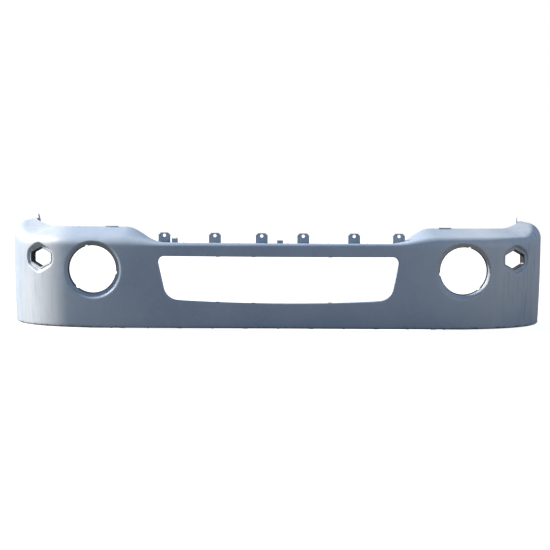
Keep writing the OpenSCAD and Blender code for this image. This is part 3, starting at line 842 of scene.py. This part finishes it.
def raw_plastic(name):
    """Black moulded plastic behind the primer, with patches of overspray."""
    f = Finish(name)
    grain = f.noise(900.0, 3.0, 0.6)
    dirt = f.span(f.noise(11.0, 5.0, 0.65), 0.45, 0.75)
    colour = f.blend(dirt, (0.017, 0.0175, 0.019), (0.045, 0.044, 0.042))
    spray = f.math("MULTIPLY", f.span(f.noise(24.0, 5.0, 0.7), 0.52, 0.74), 0.35)
    colour = f.blend(spray, colour, (0.12, 0.14, 0.165))
    f.set("Base Color", colour)
    f.set("Roughness", f.math("ADD", f.math("MULTIPLY", dirt, 0.20), 0.48))
    f.set("Normal", f.bump(grain, 0.35, 0.0004))
    return f.material


def black_plastic(name):
    f = Finish(name)
    dust = f.span(f.noise(30.0, 4.0, 0.6), 0.48, 0.75)
    f.set("Base Color", f.blend(f.math("MULTIPLY", dust, 0.5), (0.014, 0.0145, 0.016), (0.05, 0.05, 0.05)))
    f.set("Roughness", f.math("ADD", f.math("MULTIPLY", dust, 0.2), 0.42))
    f.set("Normal", f.bump(f.noise(1400.0, 2.0, 0.5), 0.3, 0.0003))
    return f.material


def zinc(name):
    f = Finish(name)
    spangle = f.node("ShaderNodeTexVoronoi", "Color", Vector=f.coords, Scale=260.0)
    shade = f.axis(spangle, "X")
    colour = f.blend(shade, (0.50, 0.51, 0.50), (0.68, 0.68, 0.66))
    tarnish = f.span(f.noise(120.0, 4.0, 0.65), 0.55, 0.75)
    f.set("Base Color", f.blend(f.math("MULTIPLY", tarnish, 0.5), colour, (0.30, 0.27, 0.22)))
    f.set("Metallic", 1.0)
    rough = f.math("ADD", f.math("MULTIPLY", tarnish, 0.25), f.math("MULTIPLY", shade, 0.1))
    f.set("Roughness", f.math("ADD", rough, 0.28))
    f.set("Normal", f.bump(f.noise(700.0, 3.0, 0.5), 0.15, 0.0003))
    return f.material


def dark_steel(name):
    f = Finish(name)
    wear = f.span(f.noise(70.0, 5.0, 0.7), 0.58, 0.72)
    colour = f.blend(f.noise(20.0, 3.0, 0.5), (0.022, 0.023, 0.026), (0.05, 0.051, 0.055))
    f.set("Base Color", f.blend(f.math("MULTIPLY", wear, 0.6), colour, (0.12, 0.075, 0.05)))
    f.set("Roughness", f.math("ADD", f.math("MULTIPLY", wear, 0.3), 0.38))
    f.set("Normal", f.bump(f.noise(600.0, 3.0, 0.5), 0.2, 0.0003))
    return f.material


# ---------------------------------------------------------------------------------------------
# Pieces
# ---------------------------------------------------------------------------------------------
FINISHES = {
    "primed_plastic": primer("primer_on_plastic"),
    "primed_steel": primer("primer_on_steel"),
    "black_plastic": black_plastic("black_plastic"),
    "dark_steel": dark_steel("dark_steel"),
    "zinc_steel": zinc("zinc_steel"),
}
RAW = raw_plastic("raw_moulding")


def dress_frame():
    """Every node of the frame takes the finish of its material slot."""
    for part in frame["record"]["subparts"]:
        node = frame["nodes"][part["node"]]
        node.data.materials.clear()
        node.data.materials.append(FINISHES[part["material_slot"]])
        edges = node.modifiers.new("softened_edges", "BEVEL")
        edges.width = EDGE_BREAK * MM
        edges.segments = 2
        edges.limit_method = "ANGLE"
        edges.angle_limit = EDGE_BREAK_A
        edges.use_clamp_overlap = True


def lamp_rest(side):
    """A low rest for a headlamp on the ledge's rear edge."""
    inward = along(LAMP_REST_S, LEDGE_D) - WALL - LAMP_REST_INSET
    foot = place(side * LAMP_REST_S, inward, ledge_end_z(LAMP_REST_S) - WALL)
    turn = Matrix.Translation(foot) @ Matrix.Rotation(side * heading(LAMP_REST_S), 4, "Z")
    half = LAMP_REST_W / 2
    return box_piece((-half, 0, 0), (half, WALL, LAMP_REST_H + WALL), LAMP_REST_EDGE_R, turn)


def arch_flange(side):
    """The flange turned in behind the wheel arch. Its outer edge ends inside the wing's wall."""
    bm = bmesh.new()
    rows = []
    rear = REAR_Y - ARCH_FLANGE_INSET
    for i in range(ARCH_FLANGE_ROWS + 1):
        z = mix(*ARCH_FLANGE_Z, i / ARCH_FLANGE_ROWS)
        outer = HALF_W - inward_at(END_S, z) - WALL / 2
        corners = [(HALF_W - ARCH_FLANGE_W, rear - WALL), (outer, rear - WALL), (outer, rear),
                   (HALF_W - ARCH_FLANGE_W, rear)]
        rows.append([bm.verts.new((side * x, y, z)) for x, y in corners])
    for a, b in zip(rows, rows[1:]):
        for k in range(4):
            m = (k + 1) % 4
            bm.faces.new((a[k], a[m], b[m], b[k]))
    bm.faces.new(rows[0])
    bm.faces.new(rows[-1])
    bmesh.ops.recalc_face_normals(bm, faces=bm.faces)
    return bm


def finish_skin(skin):
    skin.data.materials.append(FINISHES["primed_plastic"])
    skin.data.materials.append(RAW)
    apply_modifiers(skin)
    pieces = []
    for side in (-1, 1):
        pieces.append(lamp_rest(side))
        pieces.append(arch_flange(side))
    add_to(skin, pieces)
    smooth(skin)
    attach(skin, "root")
    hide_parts("bumper_skin")


# ---------------------------------------------------------------------------------------------
# Studio
# ---------------------------------------------------------------------------------------------
WHITE = (1, 1, 1)
SKY = (0.32, 0.45, 0.68)
SKY_STRENGTH = 0.88
FLOOR_HALF = 14.0
FLOOR_Z = -0.0005
FLOOR_GLOW = 0.92
FLOOR_SEEN = (0.22, 0.22, 0.22)
FLOOR_BOUNCE = (0.17, 0.157, 0.135)
CAMERA_D = 4.0614
CAMERA_Z = 0.4031
CAMERA_YAW = math.radians(0.406)
CAMERA_PITCH = math.radians(3.056)
CAMERA_ROLL = math.radians(0.340)
FOCAL_PX = 1239.2
IMAGE_PX = 550
SENSOR_MM = 36
SHIFT_PX = 3.504


def add_camera():
    data = bpy.data.cameras.new("camera")
    data.sensor_width = SENSOR_MM
    data.lens = FOCAL_PX / IMAGE_PX * SENSOR_MM
    data.shift_x = -SHIFT_PX / IMAGE_PX
    camera = bpy.data.objects.new("camera", data)
    bpy.context.scene.collection.objects.link(camera)
    ahead = Vector((math.sin(CAMERA_YAW), math.cos(CAMERA_YAW), 0))
    right = Vector((math.cos(CAMERA_YAW), -math.sin(CAMERA_YAW), 0))
    up = Vector((0, 0, 1))
    look = ahead * math.cos(CAMERA_PITCH) - up * math.sin(CAMERA_PITCH)
    top = up * math.cos(CAMERA_PITCH) + ahead * math.sin(CAMERA_PITCH)
    side = right * math.cos(CAMERA_ROLL) + top * math.sin(CAMERA_ROLL)
    top = top * math.cos(CAMERA_ROLL) - right * math.sin(CAMERA_ROLL)
    eye = Vector((0, CAD_BOX[0].y, CAMERA_Z)) - ahead * CAMERA_D
    camera.matrix_world = frame_matrix(eye, side, top, -look)
    bpy.context.scene.camera = camera


def by_camera(tree, seen, unseen, output):
    """Sends one shader to the camera and another to every other ray."""
    paths = tree.nodes.new("ShaderNodeLightPath")
    choose = tree.nodes.new("ShaderNodeMixShader")
    tree.links.new(paths.outputs["Is Camera Ray"], choose.inputs[0])
    tree.links.new(unseen.outputs[0], choose.inputs[1])
    tree.links.new(seen.outputs[0], choose.inputs[2])
    tree.links.new(choose.outputs[0], output.inputs["Surface"])


def shader(tree, kind, colour, strength=None):
    node = tree.nodes.new(kind)
    node.inputs["Color"].default_value = (*colour, 1)
    if strength is not None:
        node.inputs["Strength"].default_value = strength
    return node


def pale_floor():
    """Nearly white to the camera, and duller to the light that bounces off it."""
    material = bpy.data.materials.new("pale_floor")
    material.use_nodes = True
    tree = material.node_tree
    tree.nodes.remove(tree.nodes["Principled BSDF"])
    seen = tree.nodes.new("ShaderNodeAddShader")
    tree.links.new(shader(tree, "ShaderNodeEmission", WHITE, FLOOR_GLOW).outputs[0], seen.inputs[0])
    tree.links.new(shader(tree, "ShaderNodeBsdfDiffuse", FLOOR_SEEN).outputs[0], seen.inputs[1])
    bounce = shader(tree, "ShaderNodeBsdfDiffuse", FLOOR_BOUNCE)
    by_camera(tree, seen, bounce, tree.nodes["Material Output"])
    return material


def add_floor():
    mesh = bpy.data.meshes.new("floor")
    corners = [(-1, -1), (1, -1), (1, 1), (-1, 1)]
    points = [(x * FLOOR_HALF, y * FLOOR_HALF, FLOOR_Z) for x, y in corners]
    mesh.from_pydata(points, [], [(0, 1, 2, 3)])
    mesh.materials.append(pale_floor())
    floor = bpy.data.objects.new("floor", mesh)
    bpy.context.scene.collection.objects.link(floor)


def add_world():
    world = bpy.data.worlds.new("studio")
    bpy.context.scene.world = world
    world.use_nodes = True
    tree = world.node_tree
    tree.nodes.remove(tree.nodes["Background"])
    sky = shader(tree, "ShaderNodeBackground", SKY, SKY_STRENGTH)
    white = shader(tree, "ShaderNodeBackground", WHITE, 1.0)
    by_camera(tree, white, sky, tree.nodes["World Output"])


def add_light(name, energy, colour, spread, azimuth, elevation):
    """A broad distant light. Its azimuth is in degrees to the left of the front."""
    data = bpy.data.lights.new(name, "SUN")
    data.energy = energy
    data.color = colour
    data.angle = math.radians(spread)
    light = bpy.data.objects.new(name, data)
    bpy.context.scene.collection.objects.link(light)
    turn, lift = math.radians(azimuth), math.radians(elevation)
    towards = Vector((-math.sin(turn) * math.cos(lift), -math.cos(turn) * math.cos(lift), math.sin(lift)))
    light.matrix_world = towards.to_track_quat("Z", "Y").to_matrix().to_4x4()


dress_frame()
finish_skin(build_skin())
add_floor()
add_world()
add_light("key", 10.4, (1.0, 0.985, 0.96), 10, 103, 31)
add_light("fill", 0.42, (1.0, 0.95, 0.88), 40, -56, 18)
add_camera()
bpy.context.scene.view_settings.view_transform = "Standard"

bpy.context.view_layer.update()
